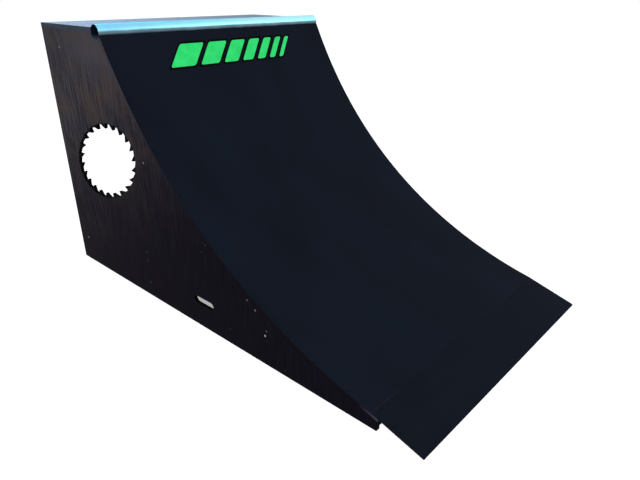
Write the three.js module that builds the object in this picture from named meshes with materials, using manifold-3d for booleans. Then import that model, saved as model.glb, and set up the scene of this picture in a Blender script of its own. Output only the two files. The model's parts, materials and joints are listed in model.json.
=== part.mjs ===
import * as THREE from "three";
import { mergeVertices } from "three/addons/utils/BufferGeometryUtils.js";
import Module from "manifold-3d";

// Quarter pipe skate ramp, in millimetres.
// +X runs across the ramp, +Y towards its back and +Z up.
// The origin is on the floor, in the middle of the ramp's footprint.

// Whole ramp
const rampWidth = 1220;
const deckHeight = 1100;
const deckDepth = 454; // back face to the coping's centre line
const transitionRadius = 1956; // curve of the riding surface
const toePlateStart = 1825; // back face to the toe plate's back edge
const toePlateRun = 199; // toe plate, along the floor
const toePlateRise = 57.1; // underside of the toe plate's back edge, above the floor
const panelReach = 27; // side panel's foot, in front of the toe plate's back edge
const fitGap = 0.3; // clearance where two pieces meet

// Sheets
const panelThickness = 15;
const deckThickness = 18;
const underlayThickness = 9;
const topSheetThickness = 4;
const toePlateThickness = 3;
const toePlateLip = 1; // height of the ground front edge
const toePlateBevel = 9;
const panelToeRadius = 4;

// Coping
const pipeDiameter = 60.3;
const pipeWall = 3.2;
const copingLift = 12; // its top, above the deck
const copingProud = 6.5; // out from the riding surface

// Timber of the frame
const timberThickness = 38;
const timberDepth = 89;
const toeRailLength = 69;
const toeRailSetback = 9; // behind the feet of the side panels

// Cross members. Lengths are from the back face, shares along the curve from the toe plate's
// back edge to the coping.
const edgeJoistShares = [0.8365, 0.7208, 0.603, 0.4853, 0.2649, 0.1412];
const sheetJointShare = 0.2588; // of the way from the fifth transition joist up to the fourth
const lowJoistSpace = 8.4; // between the toe rail and the low joist
const flatJoistSpace = 43.3; // between the last transition joist's foot and the flat floor joist
const deckJoistStart = 132;
const backRailStart = 68;
const backRailHeight = 98.8;
const braceHeight = 196.1; // the middle brace stands over the first floor joist
const floorJoistShares = [0.3332, 0.6309]; // along the floor to the toe plate

// Hand slot in each side panel
const slotMiddle = 995; // from the back face
const slotHeight = 119;
const slotLength = 120;
const slotWidth = 32;

// Saw-toothed opening in each side panel
const sawMiddle = 370.5; // from the back face
const sawDrop = 534.5; // below the deck
const sawHalfLength = 261;
const sawHalfWidth = 155;
const sawTiltDegrees = 22;
const sawTeeth = 22;
const toothDepthShare = 0.13;
const toothBackShare = 0.5; // place of the bend in a tooth's back, of the pitch
const toothBendShare = 0.16; // depth that is left there, of the tooth's depth
const toothTipShare = 0.985; // place of a tooth's tip, of the pitch

// Countersunk wood screw
const screwHeadRadius = 4.4;
const screwHeadHeight = 3;
const screwHeadLand = 0.5;
const screwShankRadius = 2.2;
const screwLength = 60;
const screwPoint = 6;

// Screws in each end of a cross member: places across and along its depth, as shares of these.
const screwShares = {
  transition_joist_2: [[0, -0.42]],
  transition_joist_4: [
    [0, 0.33],
    [0, -0.2],
  ],
  transition_joist_5: [[0, -0.09]],
  sheet_joint_joist: [
    [0.27, 0.06],
    [-0.27, -0.05],
  ],
  deck_joist_back: [[0, -0.3]],
  back_rail: [[0, 0.25]],
  middle_brace: [
    [0, 0.23],
    [0, -0.23],
  ],
  floor_joist_1: [[0, 0.25]],
  floor_joist_2: [[0, 0.23]],
  floor_joist_3: [[0, 0.1]],
};

// Screws of the toe plate
const toeScrewLength = 35;
const toeScrewCount = 5;
const toeScrewInset = 45; // from the ramp's side
const toeScrewBack = 12; // from the toe plate's back edge

// Hex bolts that hold the coping to the front deck joist
const boltRadius = 4;
const boltLength = 55; // under the head
const boltHeadRadius = 7.5;
const boltHeadHeight = 5.3;
const boltDrop = 16; // below the coping's centre line
const boltCount = 3;
const boltInset = 130; // from the ramp's side

const arcStep = THREE.MathUtils.degToRad(1.3);
const roundSteps = 8;
const pipeSteps = 20;

// Places that follow from the sizes, in the cross-section: x towards the back, y up.
const backX = (toePlateStart + toePlateRun) / 2;
const seamX = backX - toePlateStart;
const toeX = seamX - panelReach;
const toeRailX = toeX + toeRailSetback;
const frontX = seamX - toePlateRun;
const pipeRadius = pipeDiameter / 2;
const copingHeight = deckHeight + copingLift - pipeRadius;
const copingX = backX - deckDepth;
const copingReach = transitionRadius + pipeRadius - copingProud;
const underlayRadius = transitionRadius + topSheetThickness + fitGap;
const frameRadius = underlayRadius + underlayThickness + fitGap;
const arcCentre = curveCentre(toePlateRise - fitGap);
const arcX = arcCentre.x;
const arcY = arcCentre.y;
const seamAngle = Math.asin((seamX - arcX) / underlayRadius);
const copingAngle = Math.asin((copingX - arcX) / copingReach);
const panelTop = deckHeight - deckThickness - fitGap;
const innerWidth = rampWidth - 2 * panelThickness;
const joistLength = innerWidth - 2 * fitGap;

const wasm = await Module();
wasm.setup();

const materials = {
  panel: new THREE.MeshStandardMaterial({ color: 0x322e33, roughness: 0.45, metalness: 0 }),
  deck: new THREE.MeshStandardMaterial({ color: 0x2c2c33, roughness: 0.3, metalness: 0 }),
  ride: new THREE.MeshStandardMaterial({ color: 0x161a22, roughness: 0.5, metalness: 0 }),
  ply: new THREE.MeshStandardMaterial({ color: 0xc9a877, roughness: 0.7, metalness: 0 }),
  timber: new THREE.MeshStandardMaterial({ color: 0xc8a06a, roughness: 0.75, metalness: 0 }),
  toePlate: new THREE.MeshStandardMaterial({ color: 0x171b23, roughness: 0.45, metalness: 0.6 }),
  coping: new THREE.MeshStandardMaterial({ color: 0x9fc4cc, roughness: 0.3, metalness: 1 }),
  screw: new THREE.MeshStandardMaterial({ color: 0x9a9a96, roughness: 0.4, metalness: 1 }),
};

// The ramp is built as a cross-section that is turned upright: its z runs across the ramp.
const ramp = new THREE.Group();
const section = new THREE.Group();
section.rotation.set(Math.PI / 2, 0, Math.PI / 2, "ZYX");
ramp.add(section);

function addPiece(name, geometry, material) {
  const mesh = new THREE.Mesh(geometry, material);
  mesh.name = name;
  section.add(mesh);
  return mesh;
}

function solidFrom(geometry) {
  const bare = geometry.clone();
  bare.deleteAttribute("normal");
  bare.deleteAttribute("uv");
  const merged = mergeVertices(bare);
  return new wasm.Manifold(
    new wasm.Mesh({
      numProp: 3,
      vertProperties: merged.attributes.position.array,
      triVerts: new Uint32Array(merged.index.array),
    }),
  );
}

function geometryFrom(solid) {
  const mesh = solid.getMesh();
  const geometry = new THREE.BufferGeometry();
  geometry.setAttribute("position", new THREE.BufferAttribute(mesh.vertProperties, 3));
  geometry.setIndex(new THREE.BufferAttribute(mesh.triVerts, 1));
  geometry.computeVertexNormals();
  return geometry;
}

function cut(geometry, tools) {
  let solid = solidFrom(geometry);
  for (const tool of tools) solid = solid.subtract(solidFrom(tool));
  return geometryFrom(solid);
}

// An outline drawn in the cross-section, as wide as given and centred across the ramp.
function slab(shape, width, curveSegments = roundSteps) {
  const options = { depth: width, bevelEnabled: false, curveSegments };
  const geometry = new THREE.ExtrudeGeometry(shape, options);
  geometry.translate(0, 0, -width / 2);
  return geometry;
}

// The centre of the curve, which passes over the underlay at the seam and by the coping.
function curveCentre(seamY) {
  const run = copingX - seamX;
  const rise = copingHeight - seamY;
  const chord = Math.hypot(run, rise);
  const along = (underlayRadius ** 2 - copingReach ** 2 + chord ** 2) / (2 * chord);
  const out = Math.sqrt(underlayRadius ** 2 - along ** 2);
  return new THREE.Vector2(
    seamX + (along * run - out * rise) / chord,
    seamY + (along * rise + out * run) / chord,
  );
}

// A point of the transition: its distance from the curve's centre, and its angle.
function onArc(radius, angle) {
  return new THREE.Vector2(arcX + radius * Math.sin(angle), arcY - radius * Math.cos(angle));
}

function arcPoints(radius, fromAngle, toAngle) {
  const steps = Math.ceil(Math.abs(toAngle - fromAngle) / arcStep);
  const points = [];
  for (let i = 0; i <= steps; i += 1) {
    points.push(onArc(radius, fromAngle + ((toAngle - fromAngle) * i) / steps));
  }
  return points;
}

// The toe plate lies on a straight slope from the underlay down to the floor.
const toeSlope = Math.atan2(toePlateRise, toePlateRun);

function onSlope(x, drop) {
  return new THREE.Vector2(x, (x - frontX) * Math.tan(toeSlope) - drop / Math.cos(toeSlope));
}

// The line of a layer under the toe plate and up the curve, from a start near the toe, which
// is the panels' foot unless another is given, to an angle.
function layerLine(radius, toAngle, startX = toeX) {
  const drop = radius - underlayRadius + fitGap;
  const fromAngle = Math.asin((seamX - arcX) / radius);
  return [onSlope(startX, drop), ...arcPoints(radius, fromAngle, toAngle)];
}

// The angle at which a layer's line comes a given distance from the coping's centre.
function angleAtCoping(radius, distance) {
  const cosine = (radius ** 2 + copingReach ** 2 - distance ** 2) / (2 * radius * copingReach);
  return copingAngle - Math.acos(cosine);
}

function slotPath() {
  const end = (slotLength - slotWidth) / 2;
  const path = new THREE.Path();
  path.absarc(backX - slotMiddle + end, slotHeight, slotWidth / 2, -Math.PI / 2, Math.PI / 2);
  path.absarc(backX - slotMiddle - end, slotHeight, slotWidth / 2, Math.PI / 2, Math.PI * 1.5);
  path.closePath();
  return path;
}

// A tilted oval of saw teeth: each tooth's back rises to its tip, then its face drops.
function sawPath() {
  const tilt = THREE.MathUtils.degToRad(sawTiltDegrees);
  const corners = [
    [0, 1],
    [toothBackShare, toothBendShare],
    [toothTipShare, 0],
  ];
  const points = [];
  for (let tooth = 0; tooth < sawTeeth; tooth += 1) {
    for (const [place, depth] of corners) {
      const turn = (2 * Math.PI * (tooth + place)) / sawTeeth;
      const reach = 1 - toothDepthShare * depth;
      const along = sawHalfLength * reach * Math.cos(turn);
      const across = sawHalfWidth * reach * Math.sin(turn);
      const forward = along * Math.cos(tilt) - across * Math.sin(tilt);
      const rise = along * Math.sin(tilt) + across * Math.cos(tilt);
      points.push(new THREE.Vector2(backX - sawMiddle - forward, deckHeight - sawDrop + rise));
    }
  }
  return new THREE.Path(points);
}

function panelShape() {
  const notchRadius = pipeRadius + fitGap;
  const edge = layerLine(frameRadius, angleAtCoping(frameRadius, notchRadius));
  const notchStart = edge[edge.length - 1];
  const notchAngle = Math.atan2(notchStart.y - copingHeight, notchStart.x - copingX);
  const notchEnd = Math.asin((panelTop - copingHeight) / notchRadius);
  const shape = new THREE.Shape();
  shape.moveTo(backX, 0);
  shape.lineTo(backX, panelTop);
  shape.lineTo(copingX + notchRadius * Math.cos(notchEnd), panelTop);
  shape.absarc(copingX, copingHeight, notchRadius, notchEnd, notchAngle, true);
  for (const point of edge.reverse().slice(1)) shape.lineTo(point.x, point.y);
  shape.absarc(toeX + panelToeRadius, panelToeRadius, panelToeRadius, Math.PI, Math.PI * 1.5);
  shape.closePath();
  shape.holes.push(slotPath(), sawPath());
  return shape;
}

// A screw's axis is y, with its head's face at zero and its point below.
// With a clearance, the same outline is the screw's hole.
function screwGeometry(length, clearance) {
  const head = screwHeadRadius + clearance;
  const shank = screwShankRadius + clearance;
  const profile = [
    new THREE.Vector2(0, -length - clearance),
    new THREE.Vector2(shank, screwPoint - length - clearance),
    new THREE.Vector2(shank, -screwHeadHeight - clearance),
    new THREE.Vector2(head, -screwHeadLand - clearance),
    new THREE.Vector2(head, clearance),
    new THREE.Vector2(0, clearance),
  ];
  return new THREE.LatheGeometry(profile, roundSteps);
}

// A bolt's axis is y. It passes the joist's face at zero, and its head is above that.
function boltGeometry() {
  const headMiddle = fitGap + boltHeadHeight / 2;
  const length = boltLength + headMiddle;
  const shank = new THREE.CylinderGeometry(boltRadius, boltRadius, length, roundSteps);
  shank.translate(0, (headMiddle - boltLength) / 2, 0);
  const head = new THREE.CylinderGeometry(boltHeadRadius, boltHeadRadius, boltHeadHeight, 6);
  head.translate(0, headMiddle, 0);
  return geometryFrom(solidFrom(shank).add(solidFrom(head)));
}

function boltHoles(centreX, centreY) {
  const radius = boltRadius + fitGap;
  return spaced(boltCount, boltInset).map((across) => {
    const hole = new THREE.CylinderGeometry(radius, radius, 2 * boltLength, roundSteps);
    return hole.rotateZ(-Math.PI / 2).translate(centreX, centreY, across);
  });
}

function spaced(count, inset) {
  const spread = rampWidth - 2 * inset;
  return Array.from({ length: count }, (_, i) => (spread * i) / (count - 1) - spread / 2);
}

// A screw's head faces out of its panel: side is -1 on the left and 1 on the right.
function screwHole(x, y, side, faceZ) {
  const hole = screwGeometry(screwLength, fitGap);
  return hole.rotateX((side * Math.PI) / 2).translate(x, y, faceZ);
}

// The angle at a share of the curve from the toe plate's back edge to the coping.
function angleAt(share) {
  return THREE.MathUtils.lerp(seamAngle, copingAngle, share);
}

// The sheets of the underlay meet between the fourth and fifth transition joists.
function sheetJointAngle() {
  const [above, below] = edgeJoistShares.slice(3, 5);
  return angleAt(THREE.MathUtils.lerp(below, above, sheetJointShare));
}

// The angle of a joist laid flat whose front edge stands a named space behind the toe rail.
function lowJoistAngle() {
  const edge = toeRailX + toeRailLength + lowJoistSpace - arcX;
  const lean = Math.atan2(timberDepth / 2, frameRadius);
  return lean + Math.asin(edge / Math.hypot(frameRadius, timberDepth / 2));
}

// Cross members: a name, a centre, a tilt and a section.
function onEdge(name, share) {
  const tilt = angleAt(share);
  const centre = onArc(frameRadius + timberDepth / 2, tilt);
  return { name, centre, tilt, wide: timberThickness, deep: timberDepth };
}

function laidFlat(name, tilt) {
  const centre = onArc(frameRadius + timberThickness / 2, tilt);
  return { name, centre, tilt, wide: timberDepth, deep: timberThickness };
}

function upright(name, start, height) {
  const centre = new THREE.Vector2(backX - start, height);
  return { name, centre, tilt: 0, wide: timberThickness, deep: timberDepth };
}

// A joist laid flat on the floor, behind the foot of one that stands on edge.
function flatJoist(name, front) {
  const { centre, tilt } = front;
  const foot = centre.x + (timberThickness * Math.cos(tilt) + timberDepth * Math.sin(tilt)) / 2;
  const middle = new THREE.Vector2(foot + flatJoistSpace + timberDepth / 2, timberThickness / 2);
  return { name, centre: middle, tilt: 0, wide: timberDepth, deep: timberThickness };
}

function crossMembers() {
  const copingJoistReach = pipeRadius + fitGap + timberDepth / 2;
  const copingJoistAngle = copingAngle - Math.asin(copingJoistReach / copingReach);
  const frontJoistStart = deckDepth - pipeRadius - fitGap - timberThickness / 2;
  const deckJoistHeight = panelTop - timberDepth / 2;
  const floorJoistStarts = floorJoistShares.map((share) => share * toePlateStart);
  const edgeJoists = edgeJoistShares.map((share, i) => onEdge(`transition_joist_${i + 1}`, share));
  return [
    laidFlat("coping_joist", copingJoistAngle),
    ...edgeJoists,
    laidFlat("sheet_joint_joist", sheetJointAngle()),
    laidFlat("low_joist", lowJoistAngle()),
    upright("deck_joist_front", frontJoistStart, deckJoistHeight),
    upright("deck_joist_back", deckJoistStart, deckJoistHeight),
    upright("back_rail", backRailStart, backRailHeight),
    upright("middle_brace", floorJoistStarts[0], braceHeight),
    ...floorJoistStarts.map((start, i) =>
      upright(`floor_joist_${i + 1}`, start, timberDepth / 2),
    ),
    flatJoist("floor_joist_3", edgeJoists.at(-1)),
  ];
}

function memberScrews(member) {
  const shares = screwShares[member.name] ?? [];
  return shares.map(([u, v]) => new THREE.Vector2(u * member.wide, v * member.deep));
}

function addCrossMember(member) {
  const holes = memberScrews(member).flatMap(({ x, y }) =>
    [-1, 1].map((side) => screwHole(x, y, side, (side * rampWidth) / 2)),
  );
  if (member.name === "deck_joist_front") {
    holes.push(...boltHoles(0, copingHeight - boltDrop - member.centre.y));
  }
  const box = new THREE.BoxGeometry(member.wide, member.deep, joistLength);
  const mesh = addPiece(member.name, cut(box, holes), materials.timber);
  mesh.position.set(member.centre.x, member.centre.y, 0);
  mesh.rotation.z = member.tilt;
}

function panelScrewPlaces(members) {
  const pivot = new THREE.Vector2();
  return members.flatMap((member) =>
    memberScrews(member).map((place) => place.rotateAround(pivot, member.tilt).add(member.centre)),
  );
}

function addSidePanel(sideName, side, places) {
  const holes = places.map(({ x, y }) => screwHole(x, y, side, (side * panelThickness) / 2));
  const panel = cut(slab(panelShape(), panelThickness), holes);
  const mesh = addPiece(`${sideName}_side_panel`, panel, materials.panel);
  mesh.position.z = (side * (rampWidth - panelThickness)) / 2;
  places.forEach(({ x, y }, i) => {
    const name = `${sideName}_panel_screw_${i + 1}`;
    const screw = addPiece(name, screwGeometry(screwLength, 0), materials.screw);
    screw.position.set(x, y, (side * rampWidth) / 2);
    screw.rotation.x = (side * Math.PI) / 2;
  });
}

function addDeck() {
  const front = copingX + pipeRadius + fitGap;
  const deck = new THREE.BoxGeometry(backX - front, deckThickness, rampWidth);
  const mesh = addPiece("deck_sheet", deck, materials.deck);
  mesh.position.set((backX + front) / 2, deckHeight - deckThickness / 2, 0);
}

function addCoping() {
  const ring = new THREE.Shape().absarc(0, 0, pipeRadius, 0, 2 * Math.PI);
  ring.holes.push(new THREE.Path().absarc(0, 0, pipeRadius - pipeWall, 0, 2 * Math.PI));
  const holes = boltHoles(boltLength, -boltDrop);
  const pipe = addPiece("coping_pipe", cut(slab(ring, rampWidth, pipeSteps), holes), materials.coping);
  pipe.position.set(copingX, copingHeight, 0);
  spaced(boltCount, boltInset).forEach((across, i) => {
    const bolt = addPiece(`coping_bolt_${i + 1}`, boltGeometry(), materials.screw);
    const faceX = copingX + pipeRadius + fitGap + timberThickness;
    bolt.position.set(faceX, copingHeight - boltDrop, across);
    bolt.rotation.z = -Math.PI / 2;
  });
}

// The line along each face of a sheet, joined into its outline.
function sheet(name, upper, lower, material, holes = []) {
  const shape = new THREE.Shape([...lower, ...upper.reverse()]);
  return addPiece(name, cut(slab(shape, rampWidth), holes), material);
}

function addSheets() {
  const clear = pipeRadius + fitGap;
  const under = underlayRadius + underlayThickness;
  const joint = sheetJointAngle();
  const jointHalf = fitGap / 2 / underlayRadius;
  const lowEnd = joint - jointHalf;
  const highStart = joint + jointHalf;
  const highEnd = angleAtCoping(under, clear);
  sheet(
    "underlay_lower",
    layerLine(underlayRadius, lowEnd),
    layerLine(under, lowEnd),
    materials.ply,
    toeScrewHoles(),
  );
  sheet(
    "underlay_upper",
    arcPoints(underlayRadius, highStart, highEnd),
    arcPoints(under, highStart, highEnd),
    materials.ply,
  );
  const back = transitionRadius + topSheetThickness;
  const start = Math.asin((seamX + fitGap - arcX) / transitionRadius);
  const end = angleAtCoping(back, clear);
  sheet(
    "riding_surface",
    arcPoints(transitionRadius, start, end),
    arcPoints(back, start, end),
    materials.ride,
  );
}

// The bevelled rail that closes the frame under the toe plate's back edge.
function addToeRail() {
  const railBack = toeRailX + toeRailLength;
  const top = layerLine(frameRadius, Math.asin((railBack - arcX) / frameRadius), toeRailX);
  const base = [new THREE.Vector2(toeRailX, 0), new THREE.Vector2(railBack, 0)];
  const shape = new THREE.Shape([...base, ...top.reverse()]);
  addPiece("toe_rail", cut(slab(shape, joistLength), toeScrewHoles()), materials.timber);
}

// The toe plate's screws stand in a row, square to the plate.
function toeScrewPlaces() {
  const row = onSlope(seamX - toeScrewBack, -toePlateThickness);
  return spaced(toeScrewCount, toeScrewInset).map(
    (across) => new THREE.Vector3(row.x, row.y, across),
  );
}

function toeScrewHoles() {
  return toeScrewPlaces().map((place) =>
    screwGeometry(toeScrewLength, fitGap).rotateZ(toeSlope).translate(place.x, place.y, place.z),
  );
}

function addToePlate() {
  const backTop = onSlope(seamX - toePlateThickness * Math.sin(toeSlope), -toePlateThickness);
  const shape = new THREE.Shape([
    new THREE.Vector2(frontX, 0),
    onSlope(seamX, 0),
    backTop,
    onSlope(frontX + toePlateBevel, -toePlateThickness),
    new THREE.Vector2(frontX, toePlateLip),
  ]);
  addPiece("toe_plate", cut(slab(shape, rampWidth), toeScrewHoles()), materials.toePlate);
  toeScrewPlaces().forEach((place, i) => {
    const geometry = screwGeometry(toeScrewLength, 0);
    const screw = addPiece(`toe_plate_screw_${i + 1}`, geometry, materials.screw);
    screw.position.copy(place);
    screw.rotation.z = toeSlope;
  });
}

const members = crossMembers();
const panelScrews = panelScrewPlaces(members);
addSidePanel("left", -1, panelScrews);
addSidePanel("right", 1, panelScrews);
members.forEach(addCrossMember);
addToeRail();
addSheets();
addToePlate();
addDeck();
addCoping();

export default ramp;
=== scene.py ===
import json
import math
import random

import bmesh
import bpy
from mathutils import Matrix, Vector


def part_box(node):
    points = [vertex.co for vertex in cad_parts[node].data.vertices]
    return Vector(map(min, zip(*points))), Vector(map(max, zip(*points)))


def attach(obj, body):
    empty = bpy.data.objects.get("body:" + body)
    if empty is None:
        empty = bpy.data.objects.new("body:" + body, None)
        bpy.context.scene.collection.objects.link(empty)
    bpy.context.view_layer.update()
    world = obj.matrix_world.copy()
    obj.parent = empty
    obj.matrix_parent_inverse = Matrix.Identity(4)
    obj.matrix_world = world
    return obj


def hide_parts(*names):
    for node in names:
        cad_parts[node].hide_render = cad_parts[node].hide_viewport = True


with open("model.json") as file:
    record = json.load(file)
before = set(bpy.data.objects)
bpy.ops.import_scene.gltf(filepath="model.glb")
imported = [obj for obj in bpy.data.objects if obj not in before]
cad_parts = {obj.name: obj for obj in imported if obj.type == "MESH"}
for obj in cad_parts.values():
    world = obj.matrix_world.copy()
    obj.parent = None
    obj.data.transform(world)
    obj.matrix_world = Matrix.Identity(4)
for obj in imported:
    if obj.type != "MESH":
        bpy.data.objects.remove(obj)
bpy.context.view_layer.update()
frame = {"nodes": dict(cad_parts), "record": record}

# Metres. The ramp's front is towards -Y, its back towards +Y, and it stands on z = 0.
mm = 0.001
near = 1 * mm  # closer than this to a face counts as on it
touch = 0.01 * mm  # closer than this, two points are one
bend = math.radians(0.3)  # less than this between two faces, and they are one
faceOn = 0.98  # a face looks one way when this share of its normal points there
leansOn = 0.5  # and it leans that way from this share on
chance = random.Random(7)

# What the boxes of the frame's nodes don't tell
ramp = {
    "width": 1220 * mm,
    "radius": 1956 * mm,  # of the riding surface
    "topSheet": 4 * mm,
    "gap": 0.3 * mm,
    "copingProud": 6.5 * mm,
    "toePlateRise": 57.1 * mm,
    "toePlateRun": 199 * mm,
}
halfWidth = ramp["width"] / 2


def tell(text):
    print("quarter pipe ramp:", text)


# What the frame knows of the pieces


def boxMiddle(nodeName):
    low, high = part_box(nodeName)
    return (low + high) / 2


def numbered(start):
    # the nodes of a row of like pieces, in order
    count = sum(1 for name in frame["nodes"] if name.startswith(start))
    return [f"{start}{i}" for i in range(1, count + 1)]


def camel(nodeName):
    first, *rest = nodeName.split("_")
    return first + "".join(word.capitalize() for word in rest)


# Where the curve runs

pipeLow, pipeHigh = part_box("coping_pipe")
pipeRadius = (pipeHigh.z - pipeLow.z) / 2
pipeCentre = boxMiddle("coping_pipe")
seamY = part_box("toe_plate")[1].y
toeSlope = math.atan2(ramp["toePlateRise"], ramp["toePlateRun"])


def findCurveCentre():
    copingReach = ramp["radius"] + pipeRadius - ramp["copingProud"]
    seamReach = ramp["radius"] + ramp["topSheet"] + ramp["gap"]
    seam = Vector((0, seamY, ramp["toePlateRise"] - ramp["gap"]))
    chord = Vector((0, pipeCentre.y, pipeCentre.z)) - seam
    along = (seamReach**2 - copingReach**2 + chord.length**2) / (2 * chord.length)
    out = math.sqrt(seamReach**2 - along**2)
    ahead = chord.normalized()
    return seam + along * ahead + out * Vector((0, -ahead.z, ahead.y))


curveCentre = findCurveCentre()
seamAngle = math.asin((seamY + ramp["gap"] - curveCentre.y) / ramp["radius"])


def onCurve(angle, radius=ramp["radius"], x=0.0):
    y = curveCentre.y + radius * math.sin(angle)
    return Vector((x, y, curveCentre.z - radius * math.cos(angle)))


def angleOf(point):
    return math.atan2(point.y - curveCentre.y, curveCentre.z - point.z)


def towardCentre(point):
    return (curveCentre - Vector((0, point.y, point.z))).normalized()


# Modelling helpers


def clearSelection():
    if bpy.context.object and bpy.context.object.mode != "OBJECT":
        bpy.ops.object.mode_set(mode="OBJECT")
    bpy.ops.object.select_all(action="DESELECT")


def makeActive(piece):
    clearSelection()
    piece.select_set(True)
    bpy.context.view_layer.objects.active = piece


def startPiece(name):
    # the new primitive, with its place and size put into its mesh
    piece = bpy.context.object
    piece.name = name
    piece.data.name = name
    makeActive(piece)
    bpy.ops.object.transform_apply(location=True, rotation=True, scale=True)
    return piece


def choose(piece, kind, test):
    # selects what passes the test, in edit mode
    bpy.ops.mesh.select_mode(type=kind)
    bpy.ops.mesh.select_all(action="DESELECT")
    mesh = bmesh.from_edit_mesh(piece.data)
    parts = {"VERT": mesh.verts, "EDGE": mesh.edges, "FACE": mesh.faces}[kind]
    chosen = [part for part in parts if test(part)]
    for part in chosen:
        part.select_set(True)
    bmesh.update_edit_mesh(piece.data)
    return len(chosen)


def middleOf(edge):
    return (edge.verts[0].co + edge.verts[1].co) / 2


def isSharp(edge, degrees=30):
    return len(edge.link_faces) == 2 and edge.calc_face_angle(0) > math.radians(degrees)


def isAtSide(edge):
    # on one of the ramp's two sides
    return abs(middleOf(edge).x) > halfWidth - near


def facesDown(face):
    return face.normal.z < -faceOn


def addCopy(source, name):
    piece = source.copy()
    piece.data = source.data.copy()
    piece.name = name
    piece.data.name = name
    bpy.context.scene.collection.objects.link(piece)
    return piece


def copyOfNode(nodeName):
    # the CAD node's own shape, with its loose triangles made one clean mesh
    piece = addCopy(frame["nodes"][nodeName], camel(nodeName))
    piece.parent = None
    for key in list(piece.keys()):
        del piece[key]
    piece.data.materials.clear()
    makeActive(piece)
    bpy.ops.object.mode_set(mode="EDIT")
    bpy.ops.mesh.select_all(action="SELECT")
    bpy.ops.mesh.remove_doubles(threshold=touch)
    bpy.ops.mesh.dissolve_limited(angle_limit=bend)
    bpy.ops.object.mode_set(mode="OBJECT")
    return piece


def easeEdges(piece, test, width, segments=2):
    makeActive(piece)
    bpy.ops.object.mode_set(mode="EDIT")
    if choose(piece, "EDGE", test):
        bpy.ops.mesh.bevel(
            offset=width, offset_type="OFFSET", segments=segments, profile=0.5,
            affect="EDGES", clamp_overlap=False,
        )
    bpy.ops.object.mode_set(mode="OBJECT")


def modify(piece, kind, **settings):
    makeActive(piece)
    modifier = piece.modifiers.new(kind.lower(), kind)
    for key, value in settings.items():
        setattr(modifier, key, value)
    bpy.ops.object.modifier_apply(modifier=modifier.name)


def combine(piece, other, operation):
    modify(piece, "BOOLEAN", object=other, operation=operation, solver="EXACT")
    bpy.data.objects.remove(other)


def smooth(piece, degrees=30):
    # the weighted normals keep broad flat faces flat beside their eased edges
    makeActive(piece)
    bpy.ops.object.shade_smooth_by_angle(angle=math.radians(degrees))
    modify(piece, "WEIGHTED_NORMAL", mode="FACE_AREA", weight=100, keep_sharp=True)


def paint(piece, material, faceTest=None):
    piece.data.materials.append(material)
    slot = len(piece.data.materials) - 1
    if faceTest:
        for face in piece.data.polygons:
            if faceTest(face):
                face.material_index = slot


def joinPieces(pieces, name):
    clearSelection()
    for piece in pieces:
        piece.select_set(True)
    bpy.context.view_layer.objects.active = pieces[0]
    bpy.ops.object.join()
    pieces[0].name = name
    pieces[0].data.name = name
    return pieces[0]


def handOver(piece, slotName, *nodes):
    # nothing on the ramp moves, so every piece rides on its one body
    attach(piece, "root")
    if nodes:
        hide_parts(*nodes)


# Material helpers


def colour(hexCode):
    parts = [int(hexCode[i : i + 2], 16) / 255 for i in (1, 3, 5)]
    return [p / 12.92 if p <= 0.04045 else ((p + 0.055) / 1.055) ** 2.4 for p in parts] + [1.0]


def feed(tree, sockets, values):
    # a value is another node's output, a hex colour or a plain number
    for key, value in values.items():
        if isinstance(value, bpy.types.NodeSocket):
            tree.links.new(value, sockets[key])
        else:
            sockets[key].default_value = colour(value) if isinstance(value, str) else value


usual = {"Mix": {"data_type": "RGBA"}}  # every mix here is one of colours


def addNode(tree, kind, *values, output=None, **settings):
    # values follow the order of the sockets in use, or come by name in one dictionary,
    # and what comes back is the named output or else the first
    node = tree.nodes.new("ShaderNode" + kind)
    for key, value in {**usual.get(kind, {}), **settings}.items():
        setattr(node, key, value)
    if values and isinstance(values[0], dict):
        feed(tree, node.inputs, values[0])
    else:
        feed(tree, [socket for socket in node.inputs if socket.enabled], dict(enumerate(values)))
    return node.outputs[output] if output else next(s for s in node.outputs if s.enabled)


def newMaterial(name, ownPlace=None):
    # its patterns lie on the object's coordinates, or on a place that the piece's points hold
    material = bpy.data.materials.new(name)
    material.use_nodes = True
    tree = material.node_tree
    if ownPlace:
        return material, tree, addNode(tree, "Attribute", attribute_name=ownPlace, output="Vector")
    return material, tree, addNode(tree, "TexCoord", output="Object")


def finishMaterial(material, values):
    tree = material.node_tree
    feed(tree, tree.nodes["Principled BSDF"].inputs, values)
    return material


def perMetre(sizes):
    # how many grains of these millimetres a metre holds along x, y and z
    return [1 / (size * mm) for size in sizes]


def grain(tree, place, sizes, detail, roughness, distortion=0.0):
    # cloudy pattern whose grains measure these millimetres along x, y and z
    stretched = addNode(tree, "Mapping", {"Vector": place, "Scale": perMetre(sizes)})
    return addNode(tree, "TexNoise", {
        "Vector": stretched, "Scale": 1.0, "Detail": detail, "Roughness": roughness, "Distortion": distortion,
    })


def fromAxis(tree, place):
    # distance from the line along x
    flat = addNode(tree, "VectorMath", place, (0, 1, 1), operation="MULTIPLY")
    return addNode(tree, "VectorMath", flat, operation="LENGTH", output="Value")


# Camera and studio

view = {
    "location": (-1.7137, -1.5530, 1.2396),
    "yaw": 47.54,  # degrees from the ramp's own direction
    "pitch": -27.02,
    "roll": -0.45,
    "lens": 30.80,  # mm, as is the sensor's width
    "sensor": 36,
    "shiftX": 0.01875,
    "shiftY": 0.0417,
}

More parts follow.
